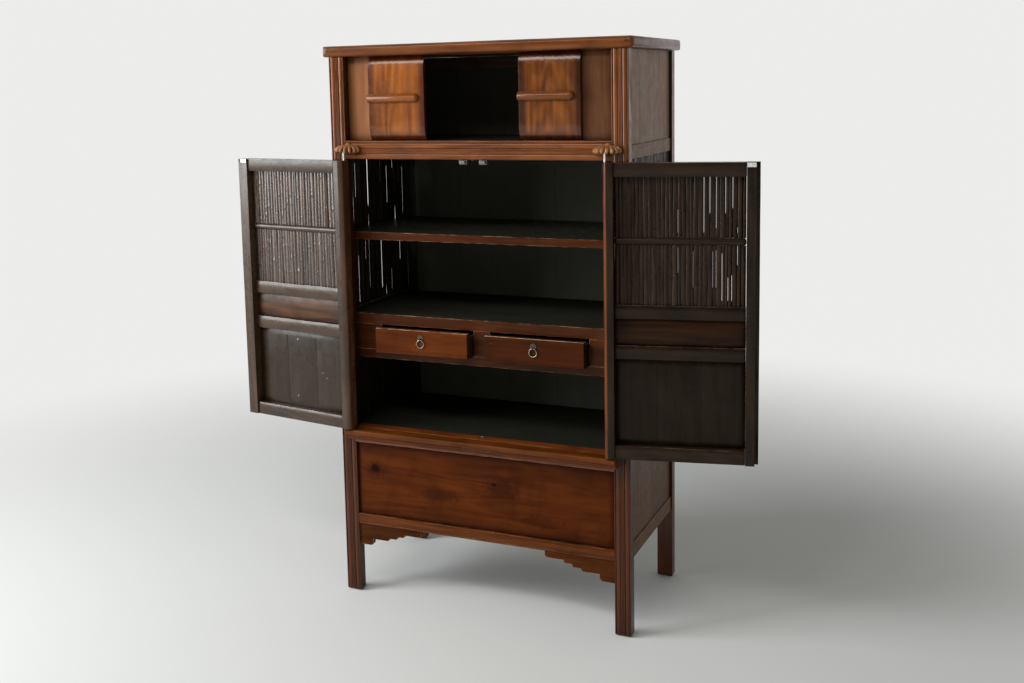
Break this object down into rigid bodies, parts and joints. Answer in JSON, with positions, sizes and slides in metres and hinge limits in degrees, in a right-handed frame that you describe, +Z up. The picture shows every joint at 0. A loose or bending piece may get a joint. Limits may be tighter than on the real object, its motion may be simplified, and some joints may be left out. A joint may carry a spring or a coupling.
{
  "type": "display cabinet",
  "caption": "Tall wooden display cabinet with sliding doors above, slatted pivot doors below, a shelf, drawers with ring pulls and a panelled base on straight legs.",
  "frame": {"origin": "on the floor, under the middle of the bounding box with the doors open as pictured", "axes": "+X to the right seen from the front, +Y to the back, +Z up"},
  "size_m": [1.6597, 0.5575, 1.732],
  "materials": {
    "lacquer_orange": "worn satin lacquer",
    "lacquer_red": "worn satin lacquer",
    "lacquer_carved": "worn satin lacquer",
    "lacquer_panel": "satin lacquer",
    "lacquer_fixed": "satin lacquer",
    "lacquer_shelf": "satin lacquer",
    "lacquer_slider": "glossy lacquer",
    "lacquer_drawer": "satin lacquer",
    "side_boards": "satin lacquer",
    "side_rails": "satin lacquer",
    "interior_dark": "dull dark stain",
    "door_inside": "worn dark lacquer",
    "door_panel_warm": "worn dark lacquer",
    "door_panel_dark": "worn dark lacquer",
    "cane_door": "worn dark lacquer",
    "cane_dark": "dull dark lacquer",
    "steel": "dull plated",
    "strike_plate": "satin",
    "pull_metal": "aged, nickel grey"
  },
  "bodies": {
    "carcass": {"top_board": "lacquer_orange", "front_mid_rail": "lacquer_orange", "pivot_brackets": "lacquer_carved", "front_post_left": "lacquer_red", "front_post_right": "lacquer_red", "rear_posts": "lacquer_red", "sill_rail": "lacquer_red", "sill_moulding": "lacquer_red", "lower_front_panel": "lacquer_panel", "lower_front_rail": "lacquer_red", "apron_brackets": "lacquer_panel", "front_fixed_panels": "lacquer_fixed", "upper_floor": "interior_dark", "back_boards": "interior_dark", "back_rails": "interior_dark", "side_upper_panels": "side_boards", "side_rails": "side_rails", "side_slats_left": "cane_dark", "side_slats_right": "cane_dark", "side_lower_panels": "side_boards", "shelf": "lacquer_shelf", "drawer_unit_top": "interior_dark", "drawer_unit_frame": "lacquer_shelf", "drawer_unit_floor": "interior_dark", "floor_board": "interior_dark", "bottom_board": "interior_dark", "door_catches": "steel"},
    "left_door": {"left_door_hinge_stile": "door_inside", "left_door_free_stile": "door_inside", "left_door_rails": "door_inside", "left_door_thin_rail": "door_inside", "left_door_slats": "cane_door", "left_door_narrow_panel": "door_panel_warm", "left_door_large_panel": "door_panel_dark", "left_door_pivots": "steel", "left_door_strike": "strike_plate"},
    "left_drawer": {"left_drawer_front": "lacquer_drawer", "left_drawer_box": "interior_dark", "left_drawer_bottom": "interior_dark", "left_pull_plate": "pull_metal"},
    "left_ring": {"left_pull_ring": "pull_metal"},
    "left_slider": {"left_sliding_door": "lacquer_slider", "left_sliding_door_bar": "lacquer_slider"},
    "right_door": {"right_door_hinge_stile": "door_inside", "right_door_free_stile": "door_inside", "right_door_rails": "door_inside", "right_door_thin_rail": "door_inside", "right_door_slats": "cane_door", "right_door_narrow_panel": "door_panel_warm", "right_door_large_panel": "door_panel_dark", "right_door_pivots": "steel", "right_door_strike": "strike_plate"},
    "right_drawer": {"right_drawer_front": "lacquer_drawer", "right_drawer_box": "interior_dark", "right_drawer_bottom": "interior_dark", "right_pull_plate": "pull_metal"},
    "right_ring": {"right_pull_ring": "pull_metal"},
    "right_slider": {"right_sliding_door": "lacquer_slider", "right_sliding_door_bar": "lacquer_slider"}
  },
  "joints": [
    {"name": "left_door_hinge", "type": "hinge", "parent": "carcass", "child": "left_door", "pos_m": [-0.415, -0.254, 0.968], "axis": [0, 0, 1], "range_deg": [-3, 189]},
    {"name": "right_door_hinge", "type": "hinge", "parent": "carcass", "child": "right_door", "pos_m": [0.415, -0.254, 0.968], "axis": [0, 0, -1], "range_deg": [-1, 191]},
    {"name": "left_drawer_slide", "type": "slide", "parent": "carcass", "child": "left_drawer", "axis": [0, 1, 0], "range_m": [-0.1755, 0.0445]},
    {"name": "right_drawer_slide", "type": "slide", "parent": "carcass", "child": "right_drawer", "axis": [0, 1, 0], "range_m": [-0.1755, 0.0445]},
    {"name": "left_ring_hinge", "type": "hinge", "parent": "left_drawer", "child": "left_ring", "pos_m": [-0.184, -0.2326, 0.84], "axis": [1, 0, 0], "range_deg": [-100, 0]},
    {"name": "right_ring_hinge", "type": "hinge", "parent": "right_drawer", "child": "right_ring", "pos_m": [0.184, -0.2326, 0.84], "axis": [1, 0, 0], "range_deg": [-100, 0]},
    {"name": "left_slider_slide", "type": "slide", "parent": "carcass", "child": "left_slider", "axis": [1, 0, 0], "range_m": [-0.078, 0.1585]},
    {"name": "right_slider_slide", "type": "slide", "parent": "carcass", "child": "right_slider", "axis": [-1, 0, 0], "range_m": [-0.093, 0.1435]}
  ]
}
